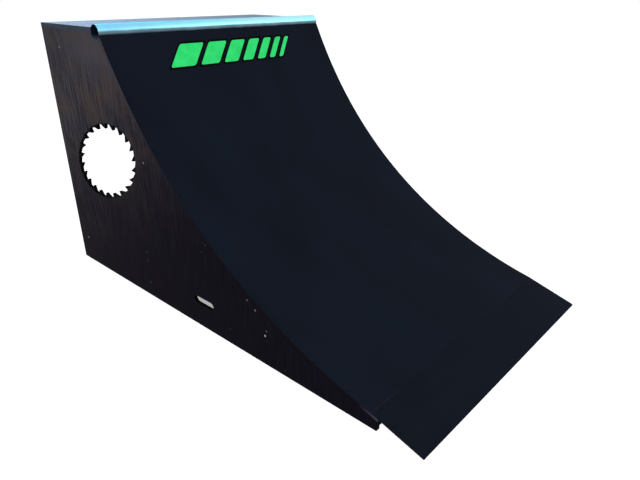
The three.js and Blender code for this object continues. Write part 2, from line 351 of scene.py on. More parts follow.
studio = {
    "floorSize": 60.0,
    "floorDrop": 0.2 * mm,  # keeps it clear of the ramp's underside
    "worldLight": 0.55,  # on the object's matt surfaces
    "floorShade": 0.25,  # share of the floor's white that shadows can take away
    "innerShade": 0.70,  # the same under the ramp, between its panels
    "innerX": (500 * mm, 620 * mm),  # where that ends on both sides of the middle
    "innerY": (650 * mm, 950 * mm),
    "innerMiddle": 100 * mm,
    "floorGlow": 1.3,  # makes up for what the lamps don't reach
    "aim": (0, 0, 450 * mm),
    "lamps": {
        "keyLight": {"at": (-3.2, -3.0, 3.6), "size": 3.2, "power": 105.0, "tint": "#FFFFFF"},
        "fillLight": {"at": (3.4, -2.4, 2.8), "size": 3.0, "power": 40.0, "tint": "#F2F6FF"},
        "backLight": {"at": (0.6, 3.6, 3.2), "size": 3.0, "power": 55.0, "tint": "#FFFFFF"},
    },
}


def makeCamera():
    clearSelection()
    bpy.ops.object.camera_add()
    camera = bpy.context.object
    camera.name = "camera"
    look = Matrix.Translation(view["location"]) @ Matrix.Rotation(math.radians(-view["yaw"]), 4, "Z")
    look = look @ Matrix.Rotation(math.radians(90 + view["pitch"]), 4, "X")
    camera.matrix_world = look @ Matrix.Rotation(math.radians(-view["roll"]), 4, "Z")
    camera.data.lens = view["lens"]
    camera.data.sensor_width = view["sensor"]
    camera.data.shift_x = view["shiftX"]
    camera.data.shift_y = view["shiftY"]
    bpy.context.scene.camera = camera


def whiteForViewers(tree):
    # 1 for what the camera sees straight, in a mirror or through glass
    seen = addNode(tree, "LightPath", output="Is Camera Ray")
    for ray in ("Is Glossy Ray", "Is Transmission Ray"):
        seen = addNode(tree, "Math", seen, addNode(tree, "LightPath", output=ray), operation="MAXIMUM")
    return seen


def makeWorld():
    world = bpy.data.worlds.new("studioWhite")
    world.use_nodes = True
    bpy.context.scene.world = world
    tree = world.node_tree
    strength = addNode(tree, "MapRange", whiteForViewers(tree), 0, 1, studio["worldLight"], 1.0)
    feed(tree, tree.nodes["Background"].inputs, {"Color": "#FFFFFF", "Strength": strength})


def makeFloor():
    # paper that is white where the camera sees it and still keeps part of the ramp's shadow
    clearSelection()
    bpy.ops.mesh.primitive_plane_add(size=studio["floorSize"], location=(0, 0, -studio["floorDrop"]))
    floor = startPiece("studioFloor")
    material, tree, place = newMaterial("matt white studio paper")
    finishMaterial(material, {"Base Color": "#D4D6F0", "Roughness": 1.0, "Specular IOR Level": 0.0})
    white = addNode(tree, "Emission", "#FFFFFF", studio["floorGlow"])
    x = addNode(tree, "SeparateXYZ", place, output="X")
    y = addNode(tree, "SeparateXYZ", place, output="Y")
    aside = addNode(tree, "Math", x, operation="ABSOLUTE")
    along = addNode(tree, "Math", y, studio["innerMiddle"], operation="SUBTRACT")
    along = addNode(tree, "Math", along, operation="ABSOLUTE")
    between = addNode(tree, "MapRange", aside, *studio["innerX"], 1.0, 0.0)
    within = addNode(tree, "MapRange", along, *studio["innerY"], 1.0, 0.0)
    inner = addNode(tree, "Math", between, within, operation="MULTIPLY")
    kept = addNode(tree, "MapRange", inner, 0, 1, 1 - studio["floorShade"], 1 - studio["innerShade"])
    share = addNode(tree, "Math", whiteForViewers(tree), kept, operation="MULTIPLY")
    mix = addNode(tree, "MixShader", share, tree.nodes["Principled BSDF"].outputs[0], white)
    feed(tree, tree.nodes["Material Output"].inputs, {"Surface": mix})
    paint(floor, material)


def makeLamps():
    for name, lamp in studio["lamps"].items():
        clearSelection()
        bpy.ops.object.light_add(type="AREA", location=lamp["at"])
        light = bpy.context.object
        light.name = name
        light.data.shape = "DISK"
        light.data.size = lamp["size"]
        light.data.energy = lamp["power"]
        light.data.color = colour(lamp["tint"])[:3]
        aim = Vector(studio["aim"]) - Vector(lamp["at"])
        light.rotation_euler = aim.to_track_quat("-Z", "Y").to_euler()


bpy.context.scene.view_settings.view_transform = "Standard"
makeCamera()
makeWorld()
makeFloor()
makeLamps()
tell("camera, floor and lamps are set")


# Materials


def paintedSkyLight(tree, place):
    # 0 low at the toe to 1 high at the back: painted sky light, the film drawn paler where it would catch
    #                                         more of the bright sky
    y = addNode(tree, "SeparateXYZ", place, output="Y")
    z = addNode(tree, "SeparateXYZ", place, output="Z")
    reach = addNode(tree, "Math", y, 0.45, z, operation="MULTIPLY_ADD")
    share = addNode(tree, "MapRange", reach, 200 * mm, 1150 * mm)
    return addNode(tree, "Math", share, 2.5, operation="POWER")


# the oval that holds the saw opening, leaning by its tilt in degrees
saw = {"y": 641.5 * mm, "z": 565.5 * mm, "halfLength": 261 * mm, "halfWidth": 155 * mm, "tilt": -22}


def sawTeethBlack(tree, place):
    # 1 inside the oval of the saw opening, on its teeth, fading out just past their roots: the face there is
    # coloured near black
    oval = addNode(tree, "Mapping", {
        "Vector": place,
        "Location": (0, saw["y"], saw["z"]),
        "Rotation": (math.radians(saw["tilt"]), 0, 0),
        "Scale": (1, saw["halfLength"], saw["halfWidth"]),
    }, vector_type="TEXTURE")
    return addNode(tree, "MapRange", fromAxis(tree, oval), 0.985, 1.01, 1.0, 0.0)


def filmFacedPlywood():
    # phenolic film-faced birch plywood: hot-pressed black resin paper, matt, with brown
    # where the film is rubbed thin, and the upright grain of the birch under it, drawn
    # coarser than its pores so that it shows; painted sky light makes it paler high up and
    # to the back, and a painted highlight makes it smooth pale grey high at the front
    material, tree, place = newMaterial("film-faced birch plywood")
    streaks = grain(tree, place, (9, 9, 130), 4.0, 0.6)
    fibres = grain(tree, place, (3, 3, 90), 3.0, 0.6)
    rubs = grain(tree, place, (110, 210, 130), 3.0, 0.55)
    # painted sky light: the film's tones are paler high up and to the back
    skyLit = paintedSkyLight(tree, place)
    dark = addNode(tree, "Mix", skyLit, "#0E0B12", "#252429")
    light = addNode(tree, "Mix", skyLit, "#14111B", "#4F4C50")
    y = addNode(tree, "SeparateXYZ", place, output="Y")
    z = addNode(tree, "SeparateXYZ", place, output="Z")
    # painted highlight: high at the front the streaks give way to smooth pale grey
    forward = addNode(tree, "MapRange", y, 1000 * mm, 650 * mm, 0.2, 1.0)
    high = addNode(tree, "MapRange", z, 860 * mm, 1000 * mm)
    blendShare = addNode(tree, "Math", high, forward, operation="MULTIPLY")
    grey = addNode(tree, "MapRange", streaks, 0.37, 0.63)
    grey = addNode(tree, "Math", grey, blendShare, operation="MAXIMUM")
    streaked = addNode(tree, "Mix", grey, dark, light)
    lines = addNode(tree, "MapRange", fibres, 0.35, 0.65, 0.0, 0.3)
    fine = addNode(tree, "Mix", lines, streaked, dark)
    rubbed = addNode(tree, "MapRange", rubs, 0.46, 0.66, 0.0, 0.65)
    rubbed = addNode(tree, "Math", rubbed, skyLit, operation="MULTIPLY")
    brown = addNode(tree, "Mix", rubbed, fine, "#4E4038")
    return finishMaterial(material, {
        "Base Color": addNode(tree, "Mix", sawTeethBlack(tree, place), brown, "#050506"),
        "Roughness": addNode(tree, "MapRange", fibres, 0.3, 0.7, 0.55, 0.67),
        "Normal": addNode(tree, "Bump", {"Height": fibres, "Distance": 0.10 * mm, "Strength": 0.5}),
        "Specular IOR Level": 0.012,
    })


def sealedPlywoodEdge(name, layers, deep, light):
    # sawn plywood edge sealed with thin paint: the veneers still show as fine ridges
    material, tree, place = newMaterial(name)
    veneers = grain(tree, place, layers, 1.0, 0.4)
    wear = grain(tree, place, (30, 30, 30), 4.0, 0.6)
    base = addNode(tree, "Mix", addNode(tree, "MapRange", veneers, 0.35, 0.65), deep, light)
    blendShare = addNode(tree, "MapRange", wear, 0.68, 0.8, 0.0, 0.4)
    return finishMaterial(material, {
        "Base Color": addNode(tree, "Mix", blendShare, base, "#2E2825"),
        "Roughness": 0.7,
        "Normal": addNode(tree, "Bump", {"Height": veneers, "Distance": 0.15 * mm, "Strength": 0.6}),
        "Specular IOR Level": 0.012,
    })


def sheetEdge(name, low, high, toe):
    # edge of a pressed sheet: thin plies that follow the sheet, under thinned black paint;
    # painted sky light makes it paler high up, and a painted reflection of the sky makes it
    # paler in patches near the floor at the toe
    material, tree, place = newMaterial(name)
    sheetPlace = addNode(tree, "Attribute", attribute_name="sheetPlace", output="Vector")
    run = addNode(tree, "SeparateXYZ", sheetPlace, output="Y")
    plies = grain(tree, sheetPlace, (900, 900, 1.5), 1.0, 0.4)
    wear = grain(tree, sheetPlace, (60, 60, 20), 4.0, 0.6)
    # painted sky light: paler high up and to the back
    skyLit = addNode(tree, "Mix", paintedSkyLight(tree, place), low, high)
    lines = addNode(tree, "MapRange", plies, 0.35, 0.65, 0.0, 0.35)
    base = addNode(tree, "Mix", lines, skyLit, "#0C0B0E")
    # painted reflection of the sky, in patches near the toe
    nearToe = addNode(tree, "MapRange", run, 50 * mm, -30 * mm)
    patchy = addNode(tree, "MapRange", wear, 0.25, 0.45)
    toeSkyReflection = addNode(tree, "Math", nearToe, patchy, operation="MULTIPLY")
    return finishMaterial(material, {
        "Base Color": addNode(tree, "Mix", toeSkyReflection, base, toe),
        "Roughness": 0.6,
        "Specular IOR Level": 0.012,
    })


def birchPlywoodFace():
    # rotary-cut birch veneer: pale, with long wandering figure and a few darker streaks
    material, tree, place = newMaterial("bare birch plywood", "sheetPlace")
    figure = grain(tree, place, (180, 22, 1000), 3.0, 0.5, 1.4)
    fibres = grain(tree, place, (60, 1.6, 1000), 4.0, 0.6)
    waves = addNode(tree, "MapRange", figure, 0.35, 0.65)
    base = addNode(tree, "Mix", waves, "#C79F68", "#E0C08C")
    lines = addNode(tree, "MapRange", fibres, 0.4, 0.75, 0.0, 0.35)
    return finishMaterial(material, {
        "Base Color": addNode(tree, "Mix", lines, base, "#A97F4C"),
        "Roughness": addNode(tree, "MapRange", fibres, 0.3, 0.7, 0.55, 0.72),
        "Normal": addNode(tree, "Bump", {"Height": fibres, "Distance": 0.08 * mm, "Strength": 0.5}),
        "Specular IOR Level": 0.3,
    })


pineGrain = {"ring": 5.5 * mm, "wander": 26 * mm, "knotEvery": (260, 95, 95)}  # the last in mm


def pineTimber():
    # planed pine: rings about the pith show as lines on the faces, with knots and resin tone
    material, tree, place = newMaterial("planed pine", "timberPlace")
    wander = grain(tree, place, (700, 120, 120), 2.0, 0.5)
    fibres = grain(tree, place, (90, 1.5, 1.5), 4.0, 0.6)
    rings = fromAxis(tree, place)
    rings = addNode(tree, "Math", wander, pineGrain["wander"], rings, operation="MULTIPLY_ADD")
    wave = addNode(tree, "Math", rings, 2 * math.pi / pineGrain["ring"], operation="MULTIPLY")
    wave = addNode(tree, "Math", wave, operation="SINE")
    knotPlace = addNode(tree, "Mapping", {"Vector": place, "Scale": perMetre(pineGrain["knotEvery"])})
    knots = addNode(tree, "TexVoronoi", {"Vector": knotPlace, "Scale": 1.0}, output="Distance")
    knots = addNode(tree, "MapRange", knots, 0.10, 0.16, 1.0, 0.0)
    late = addNode(tree, "MapRange", wave, -0.4, 1.0)
    wood = addNode(tree, "Mix", late, "#DDB987", "#BF8D55")
    lines = addNode(tree, "MapRange", fibres, 0.45, 0.8, 0.0, 0.4)
    fine = addNode(tree, "Mix", lines, wood, "#A87845")
    ridges = addNode(tree, "Math", wave, fibres, operation="ADD")
    return finishMaterial(material, {
        "Base Color": addNode(tree, "Mix", knots, fine, "#6B4222"),
        "Roughness": addNode(tree, "MapRange", fibres, 0.3, 0.7, 0.6, 0.78),
        "Normal": addNode(tree, "Bump", {"Height": ridges, "Distance": 0.08 * mm, "Strength": 0.4}),
        "Specular IOR Level": 0.3,
    })


def blackResinSheet():
    # dense phenolic skate sheet: near black, very even, satin, with faint wheel haze
    material, tree, place = newMaterial("black phenolic resin sheet", "sheetPlace")
    haze = grain(tree, place, (260, 500, 1000), 3.0, 0.5)
    scuffs = grain(tree, place, (5, 240, 1000), 5.0, 0.65)
    speckle = grain(tree, place, (1.6, 1.6, 1000), 2.0, 0.5)
    hazy = addNode(tree, "MapRange", haze, 0.35, 0.65)
    base = addNode(tree, "Mix", hazy, "#12161F", "#141A25")
    scuffed = addNode(tree, "MapRange", scuffs, 0.66, 0.82, 0.0, 0.10)
    satin = addNode(tree, "MapRange", haze, 0.3, 0.7, 0.56, 0.62)
    dull = addNode(tree, "MapRange", scuffs, 0.5, 0.8, 0.0, 0.05)
    return finishMaterial(material, {
        "Base Color": addNode(tree, "Mix", scuffed, base, "#2C303A"),
        "Roughness": addNode(tree, "Math", satin, dull, operation="ADD"),
        "Normal": addNode(tree, "Bump", {"Height": speckle, "Distance": 0.02 * mm, "Strength": 0.4}),
        "Specular IOR Level": 0.01,
    })


def deckFilm():
    # smooth film-faced deck under a thin dry dust whose sheen catches the light at a low angle;
    # the colour in the dust is a painted reflection of the sky, bluer to the left and greyer to the right
    material, tree, place = newMaterial("dusty film-faced deck")
    x = addNode(tree, "SeparateXYZ", place, output="X")
    dust = grain(tree, place, (240, 120, 1000), 4.0, 0.6)
    fibres = grain(tree, place, (160, 4, 1000), 4.0, 0.6)
    # painted reflection of the sky: blue to the left, greyer to the right
    greyer = addNode(tree, "MapRange", x, -400 * mm, 400 * mm)
    tone = addNode(tree, "Mix", greyer, "#6698C6", "#54626F")
    # the dust pattern carries that painted reflection over the dark film
    dustAndSkyReflection = addNode(tree, "MapRange", dust, 0.35, 0.7, 0.45, 0.95)
    base = addNode(tree, "Mix", dustAndSkyReflection, "#23262D", tone)
    lines = addNode(tree, "MapRange", fibres, 0.4, 0.75, 0.0, 0.25)
    return finishMaterial(material, {
        "Base Color": addNode(tree, "Mix", lines, base, "#2B2D35"),
        "Roughness": addNode(tree, "MapRange", dust, 0.3, 0.7, 0.45, 0.6),
        "Specular IOR Level": 0.15,
        "Sheen Weight": 0.3,
        "Sheen Roughness": 0.4,
        "Sheen Tint": "#8DBBE6",
    })


pipeBands = {  # where each tone comes in, as heights from the pipe's middle
    "shaded": (24 * mm, 29 * mm),
    "crown": (16 * mm, 26 * mm),
    "rubbed": (3 * mm, 9 * mm),
    "foot": (-9 * mm, -2 * mm),
    "burr": (-8 * mm, -24 * mm),
}


def pipeBand(tree, height, name, start=0.0, end=1.0):
    low, high = (pipeCentre.z + value for value in pipeBands[name])
    return addNode(tree, "MapRange", height, low, high, start, end)


def blueZincSteel():
    # blue-passivated zinc on drawn steel pipe, pale cyan: bluer to the left and paler to the right
    # as painted reflection of the sky, painted bright above the sheet's line as lit by the sky, with
    # painted shade along its top to the left and a painted highlight on its crown to the right,
    # and below that line painted shade makes it dull and dark, darkest at its foot
    material, tree, place = newMaterial("blue-passivated zinc steel")
    x = addNode(tree, "SeparateXYZ", place, output="X")
    z = addNode(tree, "SeparateXYZ", place, output="Z")
    drawn = grain(tree, place, (260, 1.4, 1.4), 4.0, 0.6)
    blotch = grain(tree, place, (90, 30, 30), 4.0, 0.6)
    # painted reflection of the sky: bluer to the left, paler to the right
    paler = addNode(tree, "MapRange", x, -600 * mm, -100 * mm)
    cyan = addNode(tree, "Mix", paler, "#86CBEC", "#9CEAF4")
    # painted shade along the top of the pipe, towards the left
    shaded = addNode(tree, "MapRange", x, -500 * mm, -100 * mm, 0.6, 0.0)
    shaded = addNode(tree, "Math", pipeBand(tree, z, "shaded"), shaded, operation="MULTIPLY")
    cyan = addNode(tree, "Mix", shaded, cyan, "#5C93B4")
    # painted highlight on the crown, towards the right
    lit = addNode(tree, "MapRange", x, -100 * mm, 400 * mm, 0.0, 0.9)
    lit = addNode(tree, "Math", pipeBand(tree, z, "crown"), lit, operation="MULTIPLY")
    cyan = addNode(tree, "Mix", lit, cyan, "#DBFFFF")
    cloudy = addNode(tree, "MapRange", blotch, 0.35, 0.7, 0.0, 0.4)
    bright = addNode(tree, "Mix", cloudy, cyan, "#A4ECF8")
    lines = addNode(tree, "MapRange", drawn, 0.5, 0.8, 0.0, 0.35)
    lined = addNode(tree, "Mix", lines, bright, "#7FC3D6")
    # painted shade below the sheet's line: dull grey-teal, darkest at the foot
    patches = addNode(tree, "MapRange", blotch, 0.35, 0.7)
    dull = addNode(tree, "Mix", patches, "#5F7884", "#768C98")
    uneven = addNode(tree, "MapRange", blotch, 0.3, 0.7, -1 * mm, 1 * mm)
    height = addNode(tree, "Math", z, uneven, operation="ADD")
    lower = addNode(tree, "Mix", pipeBand(tree, height, "foot"), "#22323E", dull)
    # painted light: above this band the pipe takes its bright upper tones
    rubbed = pipeBand(tree, height, "rubbed")
    satin = addNode(tree, "MapRange", rubbed, 0, 1, 0.6, 0.42)
    patchy = addNode(tree, "MapRange", blotch, 0.3, 0.7, -0.05, 0.05)
    return finishMaterial(material, {
        "Base Color": addNode(tree, "Mix", rubbed, lower, lined),
        "Roughness": addNode(tree, "Math", satin, patchy, operation="ADD"),
        "Normal": addNode(tree, "Bump", {"Height": drawn, "Distance": 0.03 * mm, "Strength": 0.4}),
        "Specular Tint": "#8FC0DC",
        "Metallic": 1.0,
    })


def sawnPipeSteel():
    # sawn pipe end and bore: blue-black scale, dry and matt, paler towards its foot as a painted highlight
    # where light falls into the bottom of the bore
    material, tree, place = newMaterial("sawn steel pipe end")
    z = addNode(tree, "SeparateXYZ", place, output="Z")
    scale = grain(tree, place, (3, 3, 3), 3.0, 0.6)
    patches = addNode(tree, "MapRange", scale, 0.35, 0.7)
    base = addNode(tree, "Mix", patches, "#0C1622", "#152433")
    # painted highlight low in the bore and on the lower end
    burr = pipeBand(tree, z, "burr", 0.0, 0.8)
    return finishMaterial(material, {
        "Base Color": addNode(tree, "Mix", burr, base, "#4C5F72"),
        "Roughness": 0.65,
        "Normal": addNode(tree, "Bump", {"Height": scale, "Distance": 0.08 * mm, "Strength": 0.5}),
        "Metallic": 0.5,
        "Specular IOR Level": 0.1,
    })


seamPaleLine = {"y": (-5 * mm, -2 * mm), "x": (-440 * mm, -500 * mm)}  # y from the seam


def blackCoatedSteel():
    # powder-coated steel plate: same black as the sheet, fine orange peel, paler in a broken line along its
    # edge at the seam, towards the left
    material, tree, place = newMaterial("black powder-coated steel")
    x = addNode(tree, "SeparateXYZ", place, output="X")
    y = addNode(tree, "SeparateXYZ", place, output="Y")
    peel = grain(tree, place, (2.2, 2.2, 2.2), 2.0, 0.5)
    haze = grain(tree, place, (200, 90, 200), 3.0, 0.5)
    broken = grain(tree, place, (16, 300, 300), 3.0, 0.6)
    hazy = addNode(tree, "MapRange", haze, 0.35, 0.7)
    base = addNode(tree, "Mix", hazy, "#12161F", "#131922")
    blendShare = addNode(tree, "MapRange", broken, 0.42, 0.6, 0.0, 0.5)
    atSeam = addNode(tree, "MapRange", y, *(seamY + value for value in seamPaleLine["y"]))
    atLeft = addNode(tree, "MapRange", x, *seamPaleLine["x"])
    for share in (atSeam, atLeft):
        blendShare = addNode(tree, "Math", blendShare, share, operation="MULTIPLY")
    return finishMaterial(material, {
        "Base Color": addNode(tree, "Mix", blendShare, base, "#34363E"),
        "Roughness": 0.6,
        "Normal": addNode(tree, "Bump", {"Height": peel, "Distance": 0.03 * mm, "Strength": 0.5}),
        "Specular IOR Level": 0.01,
    })


def zincScrewSteel():
    # zinc-plated steel: most heads are nearly black, and a few are painted grey as glints,
    # as each piece's own value says
    material, tree, place = newMaterial("zinc-plated screw steel")
    shine = addNode(tree, "Attribute", attribute_name="shine", output="Fac")
    patches = grain(tree, place, (2.5, 2.5, 2.5), 3.0, 0.6)
    patchy = addNode(tree, "MapRange", patches, 0.35, 0.7)
    tone = addNode(tree, "Mix", patchy, "#B4B0B2", "#8E8A8C")
    return finishMaterial(material, {
        "Base Color": addNode(tree, "Mix", shine, "#0A090B", tone),
        "Roughness": addNode(tree, "MapRange", patches, 0.3, 0.7, 0.3, 0.5),
        "Metallic": 1.0,
    })


def blackScrewSteel():
    # black-oxide steel: dark and dry, a little browner where the driver has rubbed it
    material, tree, place = newMaterial("black-oxide screw steel")
    patches = grain(tree, place, (2, 2, 2), 3.0, 0.6)
    patchy = addNode(tree, "MapRange", patches, 0.4, 0.7)
    return finishMaterial(material, {
        "Base Color": addNode(tree, "Mix", patchy, "#0C0E13", "#14151A"),
        "Roughness": addNode(tree, "MapRange", patches, 0.3, 0.7, 0.5, 0.65),
        "Metallic": 0.4,
        "Specular IOR Level": 0.05,
    })


def vinylFilm(name, deep, bright, specular):
    # cut vinyl film: flat even colour with a soft satin and tiny wear specks
    material, tree, place = newMaterial(name)
    cloud = grain(tree, place, (45, 45, 45), 3.0, 0.55)
    specks = grain(tree, place, (2.4, 2.4, 2.4), 3.0, 0.6)
    base = addNode(tree, "Mix", addNode(tree, "MapRange", cloud, 0.3, 0.7), deep, bright)
    blendShare = addNode(tree, "MapRange", specks, 0.70, 0.78, 0.0, 0.6)
    return finishMaterial(material, {
        "Base Color": addNode(tree, "Mix", blendShare, base, "#15191F"),
        "Roughness": addNode(tree, "MapRange", cloud, 0.3, 0.7, 0.5, 0.6),
        "Specular IOR Level": specular,
    })


veneers = {"upright": (1.4, 60, 60), "flat": (60, 60, 1.4)}  # mm

panelFilm = filmFacedPlywood()
panelEdge = sealedPlywoodEdge("black-sealed plywood edge", veneers["upright"], "#050506", "#0D0C0F")
deckEdge = sealedPlywoodEdge("grey-sealed plywood edge", veneers["flat"], "#39414A", "#474F59")
underlayEdge = sheetEdge("black-sealed birch edge", "#131018", "#4A4A50", "#474453")
resinEdge = sheetEdge("cut resin sheet edge", "#12141B", "#24262D", "#262730")
# painted light: the sheet's lower end, which sits in shade at the seam, is made paler to make up for it
resinEnd = sheetEdge("cut resin sheet end", "#333742", "#333742", "#373B46")
birchFace = birchPlywoodFace()
pine = pineTimber()
resinSheet = blackResinSheet()
deckTop = deckFilm()
zincPipe = blueZincSteel()
pipeEnd = sawnPipeSteel()
toeSteel = blackCoatedSteel()
paleScrew = zincScrewSteel()
darkScrew = blackScrewSteel()
greenVinyl = vinylFilm("green vinyl film", "#26D968", "#34EB7A", 0.1)
blackVinyl = vinylFilm("black vinyl film", "#030506", "#06090B", 0.01)
tell("materials are mixed")


# Countersunk screws

screw = {
    "headRadius": 4.4 * mm,
    "headHeight": 3.0 * mm,
    "rimBevel": 0.25 * mm,
    "shankRadius": 2.2 * mm,
    "point": 6 * mm,
    "tipShare": 0.15,  # of the shank's width
    "recess": 2.3 * mm,  # reach of the cross recess from the middle
    "recessWidth": 0.9 * mm,
    "recessDepth": 1.6 * mm,
    "recessOverrun": 1 * mm,  # of its cutter, past the head's face
    "holeRadius": 4.9 * mm,  # countersink in the sheet
    "drillGap": 0.4 * mm,  # round the shank
    "drillDepth": 9 * mm,  # below the countersink
    "holeOverrun": 0.5 * mm,  # of the cone that cuts it, past both ends
    "sides": 24,
    "holeSides": 32,
}


def modelScrew(length, material, scale=1.0):
    # stands on its point with its head's face at z = 0
    head = screw["headRadius"] * scale
    depth = screw["headHeight"] * scale
    clearSelection()
    bpy.ops.mesh.primitive_cone_add(
        vertices=screw["sides"], radius1=screw["shankRadius"] * scale, radius2=head, depth=depth,
        location=(0, 0, -depth / 2), end_fill_type="NGON",
    )
    piece = startPiece("screwMaster")
    bpy.ops.object.mode_set(mode="EDIT")
    choose(piece, "FACE", facesDown)
    drop = length - depth - screw["point"]
    bpy.ops.mesh.extrude_region_move(TRANSFORM_OT_translate={"value": (0, 0, -drop)})
    bpy.ops.mesh.extrude_region_move(TRANSFORM_OT_translate={"value": (0, 0, -screw["point"])})
    bpy.ops.transform.resize(value=(screw["tipShare"], screw["tipShare"], 1))
    bpy.ops.object.mode_set(mode="OBJECT")
    for turn in (0, math.pi / 2):
        cutRecess(piece, turn, scale)

    def isHeadRim(edge):
        at = middleOf(edge)
        return isSharp(edge, degrees=50) and at.z > -touch and at.length > head - screw["rimBevel"]

    easeEdges(piece, isHeadRim, screw["rimBevel"])
    paint(piece, material)
    smooth(piece, degrees=35)
    return piece


def cutRecess(piece, turn, scale):
    clearSelection()
    depth = screw["recessDepth"] * scale
    over = screw["recessOverrun"]
    bpy.ops.mesh.primitive_cube_add(size=1, location=(0, 0, (over - depth) / 2))
    cutter = bpy.context.object
    cutter.scale = (2 * screw["recess"] * scale, screw["recessWidth"] * scale, depth + over)
    cutter.rotation_euler = (0, 0, turn)
    startPiece("recessCutter")
    combine(piece, cutter, "DIFFERENCE")


def placedCopy(master, name, point, toward, turn=0.0):
    # a copy whose top faces a direction, turned about its own axis
    copy = addCopy(master, name)
    aim = Vector(toward).to_track_quat("Z", "Y").to_matrix().to_4x4()
    copy.data.transform(Matrix.Translation(point) @ aim @ Matrix.Rotation(turn, 4, "Z"))
    return copy


def driveScrew(master, name, point, toward, sunk=0.0):
    # the cross of a driven screw stops at any angle
    turn = chance.uniform(0, math.pi)
    return placedCopy(master, name, point - sunk * Vector(toward), toward, turn)


def driveScrews(name, master, places, toward, sunk):
    # many screws as one piece
    copies = [driveScrew(master, name, point, toward(point), sunk) for point in places]
    bpy.data.objects.remove(master)
    handOver(joinPieces(copies, name), "screw")


def setPaintedGlint(piece, value):
    # 0 for a nearly black head, 1 for a head painted bright as a glint
    attribute = piece.data.attributes.new("shine", "FLOAT", "POINT")
    for item in attribute.data:
        item.value = value


def cutCountersinks(piece, places, toward):
    # cone-mouthed holes, all cut at once
    clearSelection()
    bpy.ops.mesh.primitive_cone_add(
        vertices=screw["holeSides"], radius1=screw["shankRadius"] + screw["drillGap"],
        radius2=screw["holeRadius"], depth=screw["headHeight"] + 2 * screw["holeOverrun"],
        location=(0, 0, -screw["headHeight"] / 2), end_fill_type="NGON",
    )
    master = startPiece("sinkMaster")
    bpy.ops.object.mode_set(mode="EDIT")
    choose(master, "FACE", facesDown)
    bpy.ops.mesh.extrude_region_move(TRANSFORM_OT_translate={"value": (0, 0, -screw["drillDepth"])})
    bpy.ops.object.mode_set(mode="OBJECT")
    cutters = [placedCopy(master, "sink", point, toward(point)) for point in places]
    bpy.data.objects.remove(master)
    combine(piece, joinPieces(cutters, "sinks"), "DIFFERENCE")


# Side panels

panelDetail = {
    "easedEdge": 0.7 * mm,
    "sawEasedEdge": 2.5 * mm,
    "sawY": (420 * mm, 900 * mm),  # with sawZ, a region that holds the opening alone
    "sawZ": (350 * mm, 850 * mm),
    "screwLength": 60 * mm,
    "screwSunk": 0.25 * mm,
    "screwClear": 7 * mm,  # no eased edge this near a screw
    "extraScrews": [(-336.8 * mm, 125.8 * mm), (-345.8 * mm, 104.2 * mm)],  # y and z
    # how brightly each head is painted, for the glints on a few
    "screwShine": [0.45, 0.02, 0, 0.16, 0.22, 0.33, 0.45, 0.4, 0, 0, 0.04, 0, 0, 1, 0],  # head by head
}


def makePanel(side, sign, master):
    panel = copyOfNode(f"{side}_side_panel")
    nodes = numbered(f"{side}_panel_screw_")
    holes = [(boxMiddle(node).y, boxMiddle(node).z) for node in nodes] + panelDetail["extraScrews"]
    places = [Vector((sign * halfWidth, y, z)) for y, z in holes]
    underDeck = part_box("deck_sheet")[0].z - near

    def atSaw(edge):
        at = middleOf(edge)
        spans = ((at.y, panelDetail["sawY"]), (at.z, panelDetail["sawZ"]))
        return all(low < value < high for value, (low, high) in spans)

    def isSawRim(edge):
        liesInFace = abs(edge.verts[0].co.x - edge.verts[1].co.x) < near
        return isSharp(edge) and liesInFace and atSaw(edge)

    def isOpenEdge(edge):
        at = middleOf(edge)
        reaches = (math.hypot(at.y - p.y, at.z - p.z) for p in places)
        clear = all(reach > panelDetail["screwClear"] for reach in reaches)
        return isSharp(edge) and clear and at.z < underDeck and not atSaw(edge)

    easeEdges(panel, isSawRim, panelDetail["sawEasedEdge"])
    easeEdges(panel, isOpenEdge, panelDetail["easedEdge"])
    cutCountersinks(panel, places, lambda p: (sign, 0, 0))
    paint(panel, panelFilm)
    paint(panel, panelEdge, lambda f: abs(f.normal.x) < faceOn)
    smooth(panel, degrees=25)
    handOver(panel, "panel", f"{side}_side_panel")
    for i, point in enumerate(places):
        name = f"{side}PanelScrew{i + 1}"
        head = driveScrew(master, name, point, (sign, 0, 0), panelDetail["screwSunk"])
        setPaintedGlint(head, panelDetail["screwShine"][i])
        handOver(head, "screw", *nodes[i : i + 1])


panelScrew = modelScrew(panelDetail["screwLength"], paleScrew)
makePanel("left", -1, panelScrew)
makePanel("right", 1, panelScrew)
bpy.data.objects.remove(panelScrew)
tell("side panels and their screws are made")


# Sheets of the curve

seamReach = 5 * mm  # a sheet still follows the curve this far past the seam

underlay = {"easedEdge": 0.5 * mm}

surface = {
    "easedEdge": 0.6 * mm,
    "steps": 240,  # along the curve
    "endReach": 2 * mm,  # its lower end lies this near the seam
    "screwLength": 30 * mm,
    "screwScale": 0.9,
    "screwColumns": 5,
    "screwInset": 9 * mm,  # outer columns, from the ramp's side
    "screwSunk": 0.2 * mm,
}


def storeSheetPlace(piece, radius):
    # each point's place across, along and through the sheet, for the materials
    attribute = piece.data.attributes.new("sheetPlace", "FLOAT_VECTOR", "POINT")
    for item, vertex in zip(attribute.data, piece.data.vertices):
        at = vertex.co
        if at.y >= seamY - seamReach:
            run = radius * (angleOf(at) - seamAngle)
            through = (at - curveCentre - Vector((at.x, 0, 0))).length - radius
        else:
            run = (at.y - seamY) / math.cos(toeSlope)
            top = ramp["toePlateRise"] + (at.y - seamY) * math.tan(toeSlope)
            through = (top - at.z) * math.cos(toeSlope)
        item.vector = (at.x, run, through)


